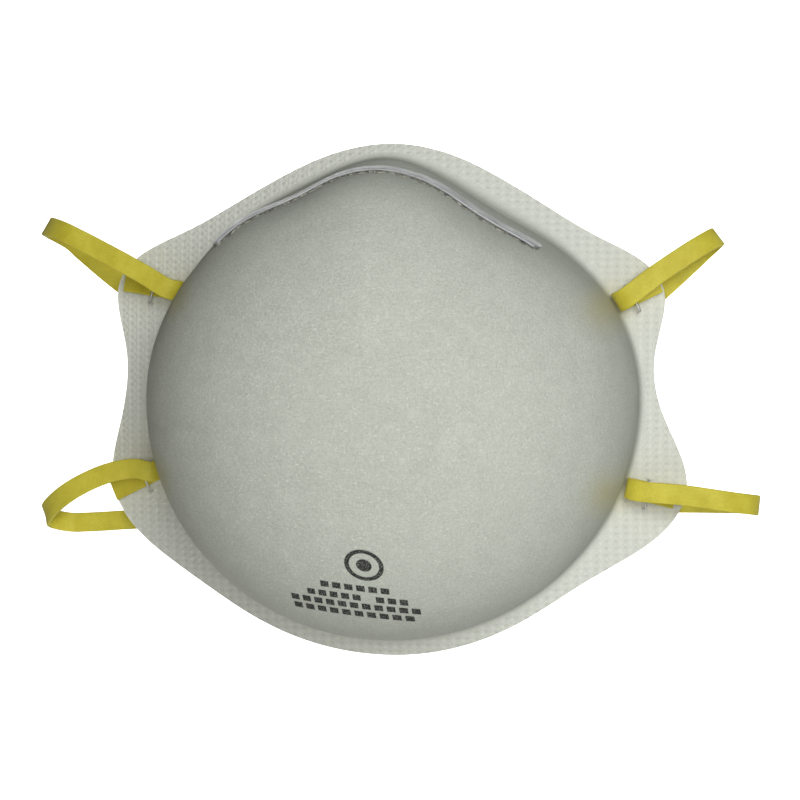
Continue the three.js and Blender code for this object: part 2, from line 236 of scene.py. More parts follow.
def profile(theta, q):
    """Radius and y of the outside at angles theta: dome to q 1, fillet to 2, flange to 3."""
    foot = oval_radius(theta) - nose_dent(theta, "foot")
    fillet = FOOT_RADIUS + nose_dent(theta, "fillet")
    turn = math.atan2(1, FLANGE_SLOPE)
    fillet_end = foot + fillet * (1 - math.cos(turn))
    foot_y = flange_y(theta, fillet_end) - fillet * math.sin(turn)
    q = np.broadcast_to(q, np.shape(foot))
    arc = np.clip(q, 0, 1) * math.pi / 2
    reach = np.sin(arc) ** (2 / FULLNESS)
    rise = np.maximum(0, np.cos(arc)) ** (2 / FULLNESS)
    bend = np.clip(q - 1, 0, 1) * turn
    out = fillet_end + (edge_radius(theta) - fillet_end) * np.clip(q - 2, 0, 1)
    deepening = smooth(q, DENT_START_Q, DENT_DEEPEST_Q) * (1 - smooth(q, DENT_DEEPEST_Q, 1))
    dent = nose_dent(theta, "dome") * deepening
    radius = np.select(
        [q <= 1, q <= 2], [foot * reach - dent, foot + fillet * (1 - np.cos(bend))], out)
    y = np.select(
        [q <= 1, q <= 2],
        [foot_y * reach ** 3 - CUP_DEPTH * rise, foot_y + fillet * np.sin(bend)],
        flange_y(theta, out))
    return radius, y


def skin(theta, q, depth):
    """Points below the outside by depth, and the normals of the outside there."""
    step = 1e-4
    theta = np.asarray(theta, float)
    q = np.broadcast_to(np.asarray(q, float), theta.shape)
    radius, y = profile(theta, q)
    r0, y0 = profile(theta, np.maximum(0, q - step))
    r1, y1 = profile(theta, np.minimum(RIM_Q, q + step))
    length = np.maximum(np.hypot(r1 - r0, y1 - y0), 1e-12)
    normal_r = np.where(q > 0, (y1 - y0) / length, 0)
    normal_y = np.where(q > 0, -(r1 - r0) / length, -1)
    pressed = 1 + (PRESSED - 1) * np.clip(q - 1, 0, 1)
    depth = np.broadcast_to(depth, theta.shape)
    sunk = np.where((depth > 0) & (depth <= CUP_THICKNESS), depth * pressed, depth)
    r = radius - normal_r * sunk
    points = np.stack([r * np.cos(theta), y - normal_y * sunk, r * np.sin(theta)], -1)
    normals = np.stack([normal_r * np.cos(theta), normal_y, normal_r * np.sin(theta)], -1)
    return points, normals


def dome_q(theta, y=None, radius=None):
    """q on the dome where it reaches a given y or a given radius."""
    low = np.zeros(np.shape(theta))
    high = np.ones(np.shape(theta))
    for _ in range(30):
        middle = (low + high) / 2
        r_here, y_here = profile(theta, middle)
        short = y_here < y if radius is None else r_here < radius
        low = np.where(short, middle, low)
        high = np.where(short, high, middle)
    return (low + high) / 2


# ---- Meshes ------------------------------------------------------------------------------------

def mesh_object(name, points, faces, material, attributes=None):
    mesh = bpy.data.meshes.new(name)
    mesh.from_pydata(np.asarray(points).tolist(), [], faces)
    mesh.polygons.foreach_set("use_smooth", [True] * len(mesh.polygons))
    for key, values in (attributes or {}).items():
        layer = mesh.attributes.new(key, "FLOAT", "POINT")
        layer.data.foreach_set("value", np.asarray(values, np.float32))
    mesh.update()
    obj = bpy.data.objects.new(name, mesh)
    bpy.context.scene.collection.objects.link(obj)
    obj.data.materials.append(material)
    return obj


def grid_faces(rows, columns, closed, base=0, flip=False):
    """Quads of a grid of points, row after row; closed joins the last column to the first."""
    faces = []
    span = columns if closed else columns - 1
    for r in range(rows - 1):
        for c in range(span):
            n = (c + 1) % columns
            quad = (base + r * columns + c, base + r * columns + n,
                    base + (r + 1) * columns + n, base + (r + 1) * columns + c)
            faces.append(quad[::-1] if flip else quad)
    return faces


def loft(name, sections, material):
    """Closed solid through sections with equal corner counts."""
    sections = np.asarray(sections)
    rows, columns = sections.shape[:2]
    faces = grid_faces(rows, columns, True, flip=True)
    faces.append(tuple(range(columns)))
    faces.append(tuple(range((rows - 1) * columns, rows * columns))[::-1])
    obj = mesh_object(name, sections.reshape(-1, 3), faces, material)
    obj.data.set_sharp_from_angle(angle=1)
    return obj


def emboss(points, q):
    """Pits pressed into the flange in rows, joined by shallow grooves."""
    across = np.cos(2 * np.pi * points[..., 0] / EMBOSS_PITCH[0]) * 0.5 + 0.5
    along = np.cos(2 * np.pi * points[..., 2] / EMBOSS_PITCH[1]) * 0.5 + 0.5
    pressed = EMBOSS_DEPTH * (across * along) ** 1.2 + GROOVE_DEPTH * (across + 0.6 * along)
    return -pressed * smooth(q, *EMBOSS_IN) * (1 - smooth(q, *EMBOSS_OUT))


def crease(points):
    """Faint fold across one cheek."""
    x, z = points[..., 0] / MM, points[..., 2] / MM
    line = CREASE_Z + CREASE_SWAY * np.cos((x + 48) / 7)
    along = smooth(x, -60.5, -56) * (1 - smooth(x, -45, -36)) * (points[..., 1] < 0)
    return -CREASE_DEPTH * MM * along * np.exp(-((z - line) / CREASE_HALF_WIDTH) ** 2)


def painted_strap_light(points):
    """Painted yellow light on the cloth beside each folded strap end; it depends on x and z only,
    not on y.
    """
    yellow_light = np.zeros(points.shape[:-1])
    for x, z in STRAP_LIGHT_SPOTS:
        across, up = points[..., 0] / MM - x, points[..., 2] / MM - z
        yellow_light = yellow_light + np.exp(-((across / STRAP_LIGHT_SPREAD[0]) ** 2) - (up / STRAP_LIGHT_SPREAD[1]) ** 2)
    return yellow_light


def cup_layer(name, segments, rings, material, relief):
    """One layer of the cup as a closed skin; relief scales the pressing on each of its faces."""
    theta = np.arange(segments) / segments * 2 * math.pi
    points = []
    q_all = []
    pits = []
    strap_lights = []
    for side, depth in enumerate(LAYERS[name]):
        points.append(skin(np.zeros(1), 0, depth)[0])
        q_all.append(np.zeros(1))
        pits.append(np.zeros(1))
        strap_lights.append(np.zeros(1))
        for q in rings:
            place, normal = skin(theta, q, depth)
            sign = 1 if side == 0 else -1
            height = emboss(place, np.full(segments, q)) * relief[side]
            fold = crease(place) if relief[0] else 0
            points.append(place + normal * (sign * height + fold)[:, None])
            q_all.append(np.full(segments, q))
            pits.append(-height / EMBOSS_DEPTH)
            strap_lights.append(painted_strap_light(place) * relief[0])
    points = np.concatenate(points)
    half = len(points) // 2
    faces = []
    for base, flip in ((0, False), (half, True)):
        fan = [(base, base + 1 + i, base + 1 + (i + 1) % segments) for i in range(segments)]
        faces += [f[::-1] if flip else f for f in fan]
        faces += grid_faces(len(rings), segments, True, base + 1, not flip)
    last = 1 + (len(rings) - 1) * segments
    for i in range(segments):
        n = (i + 1) % segments
        faces.append((last + i, last + n, half + last + n, half + last + i))
    attributes = {"zone": q_all, "pit": pits, "strap_light": strap_lights}
    attributes = {key: np.concatenate(values) for key, values in attributes.items()}
    obj = mesh_object(name + "_cloth", points, faces, material, attributes)
    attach(obj, "mask")
    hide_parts(name)


def nose_strip(name, span, width, y, lift, thickness, material, node_slot, bulge, wobble,
               steps=240):
    """Strip round the nose with softened edges; positive lift is outside, negative inside."""
    theta = np.radians(90 + CLIP_TURN + span / 2 - span * np.linspace(0, 1, steps + 1))
    near = -lift if lift > 0 else CUP_THICKNESS - lift
    far = near - thickness if lift > 0 else near + thickness
    outline = rounded_rectangle(1, 1, bulge * thickness / width, bulge, 4)
    end = np.minimum(1, np.minimum(np.arange(steps + 1), np.arange(steps, -1, -1)) / 5 + 0.45)
    sections = []
    for u, v in outline:
        part = width * end * (1 if wobble is None else 1 + 0.5 * wobble(theta))
        q = dome_q(theta, y=y + u * part)
        depth = (near + far) / 2 + v * (far - near)
        if wobble is not None:
            depth = depth + 0.08 * MM * wobble(theta + 7 * u) * v
        sections.append(skin(theta, q, depth)[0])
    return loft(name, np.stack(sections, 1), material)


def rounded_rectangle(width, height, rx, ry, steps):
    """Outline with elliptical corners, as (u, v) pairs about its centre."""
    outline = []
    for quarter, (su, sv) in enumerate(((1, 1), (-1, 1), (-1, -1), (1, -1))):
        for k in range(steps + 1):
            a = math.pi / 2 * (quarter + k / steps)
            u = su * (width / 2 - rx) + rx * math.cos(a)
            v = sv * (height / 2 - ry) + ry * math.sin(a)
            outline.append((u, v))
    return outline


# ---- Straps ------------------------------------------------------------------------------------

def on_flange(at, angle, lift=TAIL_LIFT):
    """Station on the front of the flange, with the width leaning as the flange does."""
    def y_at(x, z):
        return float(flange_y(np.arctan2(z, x), np.hypot(x, z) * MM)) / MM
    x, z = at
    dx, dz = math.cos(math.radians(angle)), math.sin(math.radians(angle))
    lean = (y_at(x + dx, z + dz) - y_at(x - dx, z - dz)) / 2
    return (x, y_at(x, z) - lift, z, angle, lean)


def strap_end(tail, fold, front, rear):
    """Stations from the stapled tail, round the fold at the cup, to the loop and behind it."""
    (tail_at, tail_angle), (fold_at, fold_angle) = tail, fold
    inward = np.subtract(fold_at, tail_at) / np.hypot(*np.subtract(fold_at, tail_at))
    x, z = np.subtract(fold_at, inward * FRONT_FOLD_RADIUS)
    low = on_flange((x, z), fold_angle)
    half = ((tail_at[0] + x) / 2, (tail_at[1] + z) / 2)
    return [
        on_flange(tail_at, tail_angle),
        on_flange(half, (tail_angle + fold_angle) / 2),
        low,
        (fold_at[0], low[1] - FRONT_FOLD_RADIUS, fold_at[1], fold_angle),
        (x, low[1] - 2 * FRONT_FOLD_RADIUS, z, fold_angle),
        *front,
        *rear,
    ]


def catmull_rom(points, u, power):
    """Catmull-Rom curve at fractions u; power 0 is uniform, 0.25 centripetal, as in the CAD."""
    points = np.asarray(points, float)
    first = 2 * points[0] - points[1]
    last = 2 * points[-1] - points[-2]
    padded = np.vstack([first, points, last])
    place = np.clip(u, 0, 1) * (len(points) - 1)
    index = np.minimum(place.astype(int), len(points) - 2)
    t = (place - index)[:, None]
    p0, p1, p2, p3 = (padded[index + k] for k in range(4))
    if power == 0:
        tangent1, tangent2 = (p2 - p0) / 2, (p3 - p1) / 2
    else:
        d0, d1, d2 = (np.maximum(((b - a) ** 2).sum(1)[:, None] ** power, 1e-4)
                      for a, b in ((p0, p1), (p1, p2), (p2, p3)))
        tangent1 = ((p1 - p0) / d0 - (p2 - p0) / (d0 + d1) + (p2 - p1) / d1) * d1
        tangent2 = ((p2 - p1) / d1 - (p3 - p1) / (d1 + d2) + (p3 - p2) / d2) * d1
    c2 = -3 * p1 + 3 * p2 - 2 * tangent1 - tangent2
    c3 = 2 * p1 - 2 * p2 + tangent1 + tangent2
    return p1 + tangent1 * t + c2 * t ** 2 + c3 * t ** 3


def band_route(stations, steps):
    """Places along a band, in metres, and the directions of its width there."""
    u = np.linspace(0, 1, steps + 1)
    places = catmull_rom([s[:3] for s in stations], u, 0.25) * MM
    across = []
    for station in stations:
        angle = math.radians(station[3])
        lean = station[4] if len(station) > 4 else 0
        w = np.array([math.cos(angle), lean, math.sin(angle)])
        across.append(w / np.linalg.norm(w))
    widths = catmull_rom(across, u, 0)
    return places, widths


STRAP_ENDS = {
    "upper_left": strap_end(
        tail=((-70.4, 30), 79), fold=((-54.5, 27.5), 71),
        front=[(-63.5, 0.9, 31.7, 67), (-72, 1.2, 36.3, 65), (-85.6, 3, 42.9, 64),
               (-91.3, LOOP_Y, 44.2, 58)],
        rear=[(-86.8, REAR_Y, 40.9, 52), (-83.5, REAR_Y, 38, 49)]),
    "upper_right": strap_end(
        tail=((66.3, 29.2), 116), fold=((56.4, 24.3), 121),
        front=[(66.1, 1.2, 31.2, 127), (75.8, 3, 37.7, 126), (80.8, LOOP_Y, 40.6, 127)],
        rear=[(77.2, REAR_Y, 37.2, 132), (74.5, REAR_Y, 34.6, 133)]),
    "lower_left": strap_end(
        tail=((-73.8, -24.4), 120), fold=((-59.7, -17.7), 99),
        front=[(-65.5, 0.9, -17.9, 97), (-72, 1.2, -18.8, 100), (-80.5, 2.2, -22.2, 112),
               (-87.6, 4.6, -26.6, 110),
               (-92, LOOP_Y, -31, 106)],
        rear=[(-87.6, REAR_Y - 0.4, -33.2, 95), (-83.5, REAR_Y, -33.2, 90)]),
    "lower_right": strap_end(
        tail=((70.6, -24.6), 81), fold=((59, -21.6), 80),
        front=[(73.6, 1.2, -23.2, 83), (85, 3, -24.9, 83), (91.1, LOOP_Y, -26.1, 84)],
        rear=[(86, REAR_Y, -26.2, 88), (83.5, REAR_Y, -26.2, 90)]),
}
STRAP_LEGS = {
    "upper_left": [(-71.5, REAR_Y, 28.4, 50), (-61, 15.6, 22.6, 57), (-55, SPAN_END_Y, 19, 64)],
    "upper_right": [(64.7, REAR_Y, 25.7, 132), (59, 15.7, 21.6, 126), (55, SPAN_END_Y, 19, 116)],
    "lower_left": [(-69, REAR_Y, -32.2, 90), (-55, SPAN_END_Y, -31.4, 90)],
    "lower_right": [(69, REAR_Y, -26.3, 90), (55, SPAN_END_Y, -27.3, 90)],
}
STRAP_MIDDLES = {"upper": (17.5, 12.8), "lower": (19, -31)}
LOOP_STATION = {"upper_left": 8, "upper_right": 7, "lower_left": 9, "lower_right": 7}


def half_span(strap, side, end_z, end_angle):
    """Stations from the leg to the middle of the rear span."""
    middle_y, middle_z = STRAP_MIDDLES[strap]
    run = SPAN_HALF - SPAN_FLAT
    stations = []
    for t in (1, 0.8, 0.6, 0.4, 0.2, 0):
        angle = 90 + (end_angle - 90) * t * t
        stations.append((side * (SPAN_FLAT + t * run), middle_y + (SPAN_END_Y - middle_y) * t * t,
                         middle_z + (end_z - middle_z) * t * t, angle))
    stations += [(side * SPAN_FLAT * f, middle_y, middle_z, 90) for f in (0.66, 0.33, 0)]
    return stations


def band(name, places, widths, material):
    """Flat elastic band with softly rounded edges."""
    along = np.gradient(places, axis=0)
    square = np.cross(along, widths)
    square /= np.linalg.norm(square, axis=1)[:, None]
    across = np.cross(square, along)
    across /= np.linalg.norm(across, axis=1)[:, None]
    across *= np.sign((across * widths).sum(1))[:, None]
    outline = rounded_rectangle(
        STRAP_WIDTH, STRAP_THICKNESS, STRAP_EDGE_RADIUS, STRAP_EDGE_RADIUS, 4)
    sections = np.stack([places + across * u + square * v for u, v in outline], 1)
    return loft(name, sections, material)


# ---- Materials ---------------------------------------------------------------------------------

class Nodes:
    """Short ways to build a procedural material."""

    def __init__(self, name, color, roughness, metallic=0.0):
        self.material = bpy.data.materials.new(name)
        self.material.use_nodes = True
        self.tree = self.material.node_tree
        self.shader = self.tree.nodes["Principled BSDF"]
        self.shader.inputs["Base Color"].default_value = (*color, 1)
        self.shader.inputs["Roughness"].default_value = roughness
        self.shader.inputs["Metallic"].default_value = metallic
        self.place = self.node("ShaderNodeTexCoord").outputs["Object"]

    def node(self, kind, **settings):
        made = self.tree.nodes.new(kind)
        for key, value in settings.items():
            if key in made.inputs:
                made.inputs[key].default_value = value
            else:
                setattr(made, key, value)
        return made

    def link(self, source, target):
        self.tree.links.new(source, target)

    def noise(self, feature, detail=3, stretch=(1, 1, 1), turn=(0, 0, 0)):
        """Noise with features of a size in millimetres, longer where stretch is below 1."""
        mapping = self.node("ShaderNodeMapping")
        mapping.inputs["Rotation"].default_value = turn
        mapping.inputs["Scale"].default_value = stretch
        self.link(self.place, mapping.inputs["Vector"])
        made = self.node("ShaderNodeTexNoise", Scale=1 / (feature * MM), Detail=detail)
        self.link(mapping.outputs[0], made.inputs["Vector"])
        return made.outputs["Fac"]

    def math(self, operation, a, b=0.0, clamp=False):
        made = self.node("ShaderNodeMath", operation=operation, use_clamp=clamp)
        for socket, value in zip(made.inputs, (a, b)):
            if isinstance(value, (int, float)):
                socket.default_value = value
            else:
                self.link(value, socket)
        return made.outputs[0]

    def ramp(self, source, stops):
        made = self.node("ShaderNodeValToRGB")
        ends = made.color_ramp.elements
        while len(ends) < len(stops):
            ends.new(0.5)
        for element, (place, color) in zip(ends, stops):
            element.position = place
            element.color = (*color, 1) if len(color) == 3 else color
        self.link(source, made.inputs[0])
        return made.outputs[0]

    def mix(self, factor, a, b):
        made = self.node("ShaderNodeMix", data_type="RGBA")
        self.link(factor, made.inputs[0])
        for socket, value in ((made.inputs[6], a), (made.inputs[7], b)):
            if isinstance(value, tuple):
                socket.default_value = (*value, 1)
            else:
                self.link(value, socket)
        return made.outputs[2]

    def bump(self, height, distance, strength=1.0):
        made = self.node("ShaderNodeBump", Strength=strength, Distance=distance * MM)
        self.link(height, made.inputs["Height"])
        self.link(made.outputs[0], self.shader.inputs["Normal"])


def fibres(m, feature):
    """Matted fibres: thin streaks in several directions, summed."""
    total = None
    for k in range(4):
        turn = (0.5 * k, 0.4 + 0.8 * k, 0.3 * k)
        streak = m.noise(feature, 2, stretch=(0.12, 1, 1), turn=turn)
        total = streak if total is None else m.math("ADD", total, streak)
    return m.math("MULTIPLY", total, 0.25)


def glints(m, size, stretch, turn):
    """Sparse short strokes for painted glints: 1 on a stroke, 0 elsewhere."""
    mapping = m.node("ShaderNodeMapping")
    mapping.inputs["Rotation"].default_value = turn
    mapping.inputs["Scale"].default_value = stretch
    m.link(m.place, mapping.inputs["Vector"])
    cells = m.node("ShaderNodeTexVoronoi", Scale=1 / (size * MM))
    m.link(mapping.outputs[0], cells.inputs["Vector"])
    return m.math("MULTIPLY", m.math("SUBTRACT", 0.2, cells.outputs["Distance"]), 7, clamp=True)


def fleece(name, dark, light, pressed, sheen=0.2, bump=0.16):
    """Nonwoven: matted fibres, mottling, painted glints, painted shade at the foot and in the
    pits; pressed is the flange.
    """
    m = Nodes(name, light, 0.9)
    fine = m.noise(0.5, 5)
    mottle = m.noise(5, 3)
    mat = fibres(m, 0.25)
    blend = m.math("ADD", m.math("MULTIPLY", mottle, 0.14), m.math("MULTIPLY", fine, 0.5))
    blend = m.math("ADD", blend, m.math("MULTIPLY", mat, 0.36))
    color = m.ramp(blend, ((0.38, dark), (0.6, light)))
    # painted glints: short strokes lightened in the base colour stand in for sparkle off the
    # fibres
    strokes = m.math("MAXIMUM", glints(m, 0.8, (1, 1, 0.35), (0.3, 0.9, 0.2)),
                     glints(m, 0.95, (0.35, 1, 1), (0.1, 0.5, 1.1)))
    lit = tuple(min(1, 1.28 * c) for c in light)
    color = m.mix(m.math("MULTIPLY", strokes, 0.7), color, lit)
    zone = m.node("ShaderNodeAttribute", attribute_name="zone")
    # painted shade: the dome darkens towards its foot and over the fillet, where it meets the
    # flange
    from_foot = m.math("SUBTRACT", zone.outputs["Fac"], 0.62)
    painted_foot_shade = m.math("MULTIPLY", from_foot, 2.2, clamp=True)
    color = m.mix(m.math("MULTIPLY", painted_foot_shade, 0.55), color, tuple(0.72 * c for c in dark))
    beyond = m.math("SUBTRACT", zone.outputs["Fac"], 1.5)
    on_flange_zone = m.math("MULTIPLY", beyond, 1.6, clamp=True)
    worn = m.mix(m.math("MULTIPLY", fine, 0.9), tuple(0.88 * c for c in pressed), pressed)
    # painted shade: the flange pits are also darkened in the colour, on top of the pits in the
    # geometry
    pit = m.node("ShaderNodeAttribute", attribute_name="pit")
    sunk = m.math("MULTIPLY", pit.outputs["Fac"], 0.62, clamp=True)
    worn = m.mix(sunk, worn, tuple(0.72 * c for c in dark))
    # painted yellow light from the folded strap ends, mixed into the base colour
    strap_light = m.node("ShaderNodeAttribute", attribute_name="strap_light")
    yellow_light = m.math("MULTIPLY", strap_light.outputs["Fac"], 0.5, clamp=True)
    cloth = m.mix(on_flange_zone, color, worn)
    m.link(m.mix(yellow_light, cloth, STRAP_LIGHT_COLOR), m.shader.inputs["Base Color"])
    height = m.math("ADD", mat, m.math("MULTIPLY", fine, 0.8))
    m.bump(m.math("ADD", height, m.math("MULTIPLY", strokes, 0.25)), bump)
    m.shader.inputs["Sheen Weight"].default_value = sheen
    m.shader.inputs["Sheen Roughness"].default_value = 0.4
    return m.material


def elastic():
    """Flat rubbery band, slightly mottled by wear."""
    m = Nodes("strap_yellow", (0.62, 0.54, 0.045), 0.62)
    fine = m.noise(0.25, 3)
    slow = m.noise(5, 2)
    tone = m.math("ADD", m.math("MULTIPLY", fine, 0.5), m.math("MULTIPLY", slow, 0.5))
    m.link(m.ramp(tone, ((0.35, (0.56, 0.47, 0.02)), (0.65, (0.72, 0.64, 0.06)))),
           m.shader.inputs["Base Color"])
    m.bump(fine, 0.04)
    m.shader.inputs["Sheen Weight"].default_value = 0.15
    return m.material


def metal(name, color, roughness, feature, stretch):
    """Bare metal with a grain and dull patches."""
    m = Nodes(name, color, roughness, 1.0)
    grain = m.noise(feature, 4, stretch=stretch)
    dull = m.noise(3, 3)
    m.link(m.ramp(grain, ((0.3, tuple(0.75 * c for c in color)), (0.7, color))),
           m.shader.inputs["Base Color"])
    m.link(m.math("ADD", m.math("MULTIPLY", dull, 0.3), roughness - 0.12),
           m.shader.inputs["Roughness"])
    m.bump(grain, 0.03)
    return m.material


def foam():
    """Open-cell foam: small pits, painted darker as shade."""
    m = Nodes("nose_foam_black", (0.05, 0.052, 0.056), 1.0)
    cells = m.node("ShaderNodeTexVoronoi", Scale=1 / (0.55 * MM))
    m.link(m.place, cells.inputs["Vector"])
    stops = ((0.1, (0.015, 0.016, 0.018)), (0.6, (0.085, 0.088, 0.095)))
    # painted shade: colour darkest at the cell centres, where the bump sinks the pits
    m.link(m.ramp(cells.outputs["Distance"], stops), m.shader.inputs["Base Color"])
    m.bump(cells.outputs["Distance"], 0.35)
    return m.material


def glue():
    """Lumpy dried glue that shows under the clip."""
    m = Nodes("glue_line", (0.5, 0.47, 0.38), 0.4)
    lumps = m.noise(1.1, 4)
    m.link(m.ramp(lumps, ((0.4, (0.2, 0.195, 0.17)), (0.66, (0.6, 0.58, 0.5)))),
           m.shader.inputs["Base Color"])
    m.bump(lumps, 0.3)
    return m.material


def tape():
    """Pale double-sided tape behind the foam."""
    m = Nodes("foam_tape", (0.72, 0.7, 0.62), 0.6)
    fine = m.noise(0.5, 3)
    m.link(m.ramp(fine, ((0.3, (0.62, 0.6, 0.52)), (0.7, (0.76, 0.74, 0.66)))),
           m.shader.inputs["Base Color"])
    m.bump(fine, 0.05)
    return m.material


def ink():
    """Black print on fleece, broken up where fibres stand through it."""
    m = Nodes("printed_ink", (0.03, 0.03, 0.028), 0.85)
    worn = m.noise(0.3, 4)
    m.link(m.ramp(worn, ((0.5, (0.022, 0.022, 0.02)), (0.68, (0.26, 0.265, 0.24)))),
           m.shader.inputs["Base Color"])
    m.bump(worn, 0.1)
    return m.material


# ---- Pieces ------------------------------------------------------------------------------------

def build_cup():
    fine_rings = np.concatenate([
        np.linspace(0.02, 1, 70), np.linspace(1.08, 2, 13)[1:], np.linspace(2, 3, 34)[1:]])
    coarse_rings = np.concatenate([
        np.linspace(0.04, 1, 30), np.linspace(1.25, 2, 4), np.linspace(2.2, 3, 5)])
    outer = fleece("outer_fleece", (0.49, 0.51, 0.445), (0.645, 0.665, 0.59), (0.86, 0.87, 0.79),
                   sheen=0.0)
    web = fleece("filter_web", (0.74, 0.76, 0.76), (0.86, 0.88, 0.87), (0.84, 0.85, 0.84))
    felt = fleece("shell_felt", (0.6, 0.6, 0.55), (0.74, 0.74, 0.69), (0.7, 0.7, 0.65))
    inner = fleece("inner_fleece", (0.72, 0.72, 0.68), (0.86, 0.86, 0.82), (0.8, 0.8, 0.76),
                   bump=0.08)
    cup_layer("outer_cover", 960, fine_rings, outer, (1, 0.4))
    cup_layer("filter_media", 240, coarse_rings, web, (0, 0))
    cup_layer("support_shell", 240, coarse_rings, felt, (0, 0))
    cup_layer("face_liner", 960, fine_rings, inner, (0, 0.6))


def build_nose():
    aluminium = metal("clip_aluminium", (0.62, 0.63, 0.64), 0.38, 0.25, (0.1, 1, 1))

    def lumpy(theta):
        slow, middling, fast = np.sin(61 * theta), np.sin(137 * theta + 1), np.sin(293 * theta)
        return slow * 0.5 + middling * 0.3 + fast * 0.2

    parts = (
        {"name": "nose_clip_adhesive", "span": 92.8, "width": 5.2 * MM, "y": -16.6 * MM,
         "lift": 0.04 * MM, "thickness": 0.3 * MM, "material": glue(), "node_slot": "glue",
         "bulge": 0.25, "wobble": lumpy},
        {"name": "nose_clip", "span": 93, "width": 5 * MM, "y": CLIP_Y,
         "lift": 0.35 * MM, "thickness": 0.6 * MM, "material": aluminium,
         "node_slot": "clip_aluminium", "bulge": 0.25, "wobble": None},
        {"name": "nose_foam_tape", "span": 80, "width": 10 * MM, "y": FOAM_Y,
         "lift": -0.05 * MM, "thickness": 0.2 * MM, "material": tape(), "node_slot": "tape",
         "bulge": 0.25, "wobble": None},
        {"name": "nose_foam", "span": 82, "width": 12 * MM, "y": FOAM_Y,
         "lift": -0.3 * MM, "thickness": 4 * MM, "material": foam(), "node_slot": "foam",
         "bulge": 0.45, "wobble": None},
    )
    for part in parts:
        name = part["name"]
        piece = nose_strip(**{**part, "name": name + "_detail"})
        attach(piece, "mask")
        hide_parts(name)


def build_straps():
    yellow = elastic()
    for side_name, end in STRAP_ENDS.items():
        strap, side = side_name.split("_")
        sign = -1 if side == "left" else 1
        leg = STRAP_LEGS[side_name]
        span = half_span(strap, sign, leg[-1][2], leg[-1][3])
        stations = end + leg + span[1:]
        places, widths = band_route(stations, STRAP_STEPS * (len(stations) - 1))
        turn = LOOP_STATION[side_name] * STRAP_STEPS
        rear = (len(end) + len(leg) - 1) * STRAP_STEPS
        front = band(f"{strap}_strap_{side}_front", places[:turn + 1], widths[:turn + 1], yellow)
        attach(front, "mask")
        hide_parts(f"{strap}_strap_{side}_end")
        back = band(
            f"{strap}_strap_{side}_back", places[turn:rear + 1], widths[turn:rear + 1], yellow)
        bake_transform(back)
        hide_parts(f"{strap}_strap_{side}_leg")
        middle = band(f"{strap}_strap_{side}_rear", places[rear:], widths[rear:], yellow)
        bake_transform(middle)
        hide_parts(f"{strap}_strap_span")


STAPLES = {
    "staple_upper_left": ((-61.6, 27.8), 73),
    "staple_upper_right": ((59.8, 25.3), 116),
    "staple_lower_left": ((-64, -20.4), 108),
    "staple_lower_right": ((63.4, -23.4), 79),
}


def build_staples():
    """Round wire bent over the strap, through the flange and clinched behind it."""
    steel = metal("staple_wire", (0.78, 0.78, 0.78), 0.3, 0.2, (1, 1, 1))
    leg = [(STAPLE_HALF, STAPLE_TOP), (STAPLE_HALF, STAPLE_BOTTOM),
           (STAPLE_HALF - STAPLE_CLINCH, STAPLE_BOTTOM + STAPLE_CLINCH_RISE)]
    corners = [Vector((-u, v)) for u, v in leg[::-1]] + [Vector(corner) for corner in leg]
    path = round_path(corners, STAPLE_BEND)
    for name, (at, angle) in STAPLES.items():
        station = on_flange(at, angle, 0)
        cos, sin = math.cos(math.radians(angle)), math.sin(math.radians(angle))
        crown = Vector((cos, station[4], sin)).normalized()
        side = Vector((-sin, on_flange(at, angle + 90, 0)[4], cos))
        normal = crown.cross(side).normalized()
        normal = -normal if normal.y > 0 else normal
        places = [Vector(station[:3]) * MM + (crown * p.x + normal * p.y) * MM for p in path]
        piece = wire(name + "_wire", places, crown.cross(normal), WIRE / 2, steel)
        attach(piece, "mask")
        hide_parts(name)


def round_path(corners, radius, steps=5):
    """Path through corners, with each one rounded off."""
    path = [corners[0]]
    for before, corner, after in zip(corners, corners[1:], corners[2:]):
        into = corner + (before - corner).normalized() * radius
        out = corner + (after - corner).normalized() * radius
        for k in range(steps + 1):
            t = k / steps
            path.append(into * (1 - t) ** 2 + corner * 2 * t * (1 - t) + out * t ** 2)
    return path + [corners[-1]]


def wire(name, places, across, radius, material, sides=12):
    sections = []
    for i, place in enumerate(places):
        along = (places[min(i + 1, len(places) - 1)] - places[max(i - 1, 0)]).normalized()
        other = along.cross(across)
        ring = [place + (across * math.cos(a) + other * math.sin(a)) * radius
                for a in (2 * math.pi * k / sides for k in range(sides))]
        sections.append([tuple(p) for p in ring])
    return loft(name, sections, material)


def on_dome(x, z, lift):
    """Points on the outside of the dome in front of (x, z), raised by lift."""
    theta = np.arctan2(z, x)
    q = dome_q(theta, radius=np.hypot(x, z))
    points, normals = skin(theta, q, 0)
    return points + normals * lift


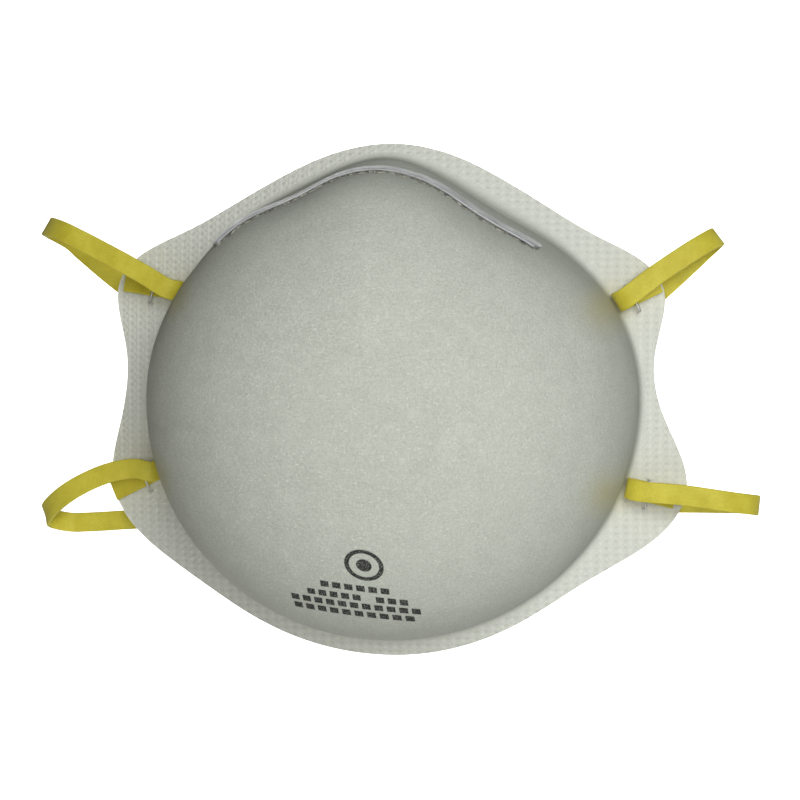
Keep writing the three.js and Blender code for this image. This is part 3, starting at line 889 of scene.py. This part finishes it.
def build_print():
    """Generic mark: a ring round a dot, over rows of plain blocks in place of words."""
    tilt = math.tan(PRINT_TILT)
    points, faces = [], []

    def patch(place_of, rows, columns):
        base = len(points)
        for r in range(rows + 1):
            for c in range(columns + 1):
                x, z = place_of(r / rows, c / columns)
                points.append((x * MM, (z + x * tilt) * MM))
        for r in range(rows):
            for c in range(columns):
                a = base + r * (columns + 1) + c
                faces.append((a, a + 1, a + columns + 2, a + columns + 1))

    def ring(inner, outer):
        def place(r, c):
            radius = inner + (outer - inner) * r
            turn = 2 * math.pi * c
            return radius * math.cos(turn) * MARK_STRETCH, MARK_Z + radius * math.sin(turn)
        return place

    for inner, outer, columns in MARK_RINGS:
        patch(ring(inner, outer), 2, columns)
    for words, middle, width, z in BLOCK_ROWS:
        pitch = width / (sum(words) + len(words) - 1)
        left = middle - width / 2
        for count in words:
            for k in range(count):
                def block(r, c, left=left + k * pitch, z=z):
                    return left + c * pitch * BLOCK_FILL, z + (r - 0.5) * BLOCK_HEIGHT
                patch(block, 3, 4)
            left += (count + 1) * pitch
    flat = np.array(points)
    places = on_dome(flat[:, 0], flat[:, 1], PRINT_LIFT)
    piece = mesh_object("printed_mark", places, faces, ink())
    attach(piece, "mask")


# ---- Camera and studio -------------------------------------------------------------------------

def build_camera():
    data = bpy.data.cameras.new("camera")
    data.lens = SENSOR_WIDTH * CAMERA_DISTANCE / FRAME_WIDTH
    data.clip_start = 0.01
    camera = bpy.data.objects.new("camera", data)
    right = Vector((math.cos(CAMERA_AZIMUTH), math.sin(CAMERA_AZIMUTH), 0))
    front = Vector((right.y, -right.x, 0))
    toward = front * math.cos(CAMERA_ELEVATION)
    toward.z = math.sin(CAMERA_ELEVATION)
    camera.location = right * CAMERA_SHIFT + toward * CAMERA_DISTANCE
    camera.rotation_euler = (-toward).to_track_quat("-Z", "Y").to_euler()
    bpy.context.scene.collection.objects.link(camera)
    bpy.context.scene.camera = camera


def area_light(name, place, target, size, power, color):
    data = bpy.data.lights.new(name, "AREA")
    data.size = size
    data.energy = power
    data.color = color
    light = bpy.data.objects.new(name, data)
    light.location = place
    light.rotation_euler = (Vector(target) - Vector(place)).to_track_quat("-Z", "Y").to_euler()
    light.visible_camera = False
    bpy.context.scene.collection.objects.link(light)


def build_studio():
    scene = bpy.context.scene
    scene.view_settings.view_transform = "Standard"
    world = bpy.data.worlds.new("studio")
    scene.world = world
    world.use_nodes = True
    background = world.node_tree.nodes["Background"]
    background.inputs["Color"].default_value = WORLD_COLOR
    background.inputs["Strength"].default_value = WORLD_STRENGTH
    for light in LIGHTS:
        area_light(**light)

    floor = Nodes("pale_floor", (0.9, 0.9, 0.9), 0.9)
    tone = floor.noise(40, 2)
    floor.link(floor.ramp(tone, ((0.3, (0.88, 0.88, 0.88)), (0.7, (0.92, 0.92, 0.92)))),
               floor.shader.inputs["Base Color"])
    turn_top = SWEEP_TURN_Y + SWEEP_RADIUS
    depth = [(SWEEP_FRONT_Y, 0), (SWEEP_TURN_Y, 0)]
    for a in np.linspace(0.1, math.pi / 2, 12):
        depth.append((SWEEP_TURN_Y + SWEEP_RADIUS * math.sin(a),
                      SWEEP_RADIUS - SWEEP_RADIUS * math.cos(a)))
    depth.append((turn_top, SWEEP_TOP))
    ground = CAD_BOX[0][2] - SWEEP_DROP
    points = [(x, y, ground + z) for y, z in depth
              for x in (-SWEEP_HALF_WIDTH, SWEEP_HALF_WIDTH)]
    faces = [(2 * i, 2 * i + 1, 2 * i + 3, 2 * i + 2) for i in range(len(depth) - 1)]
    mesh = bpy.data.meshes.new("studio_floor")
    mesh.from_pydata(points, [], faces)
    mesh.polygons.foreach_set("use_smooth", [True] * len(mesh.polygons))
    sweep = bpy.data.objects.new("studio_floor", mesh)
    scene.collection.objects.link(sweep)
    sweep.data.materials.append(floor.material)


build_camera()
build_studio()
build_cup()
build_nose()
build_straps()
build_staples()
build_print()
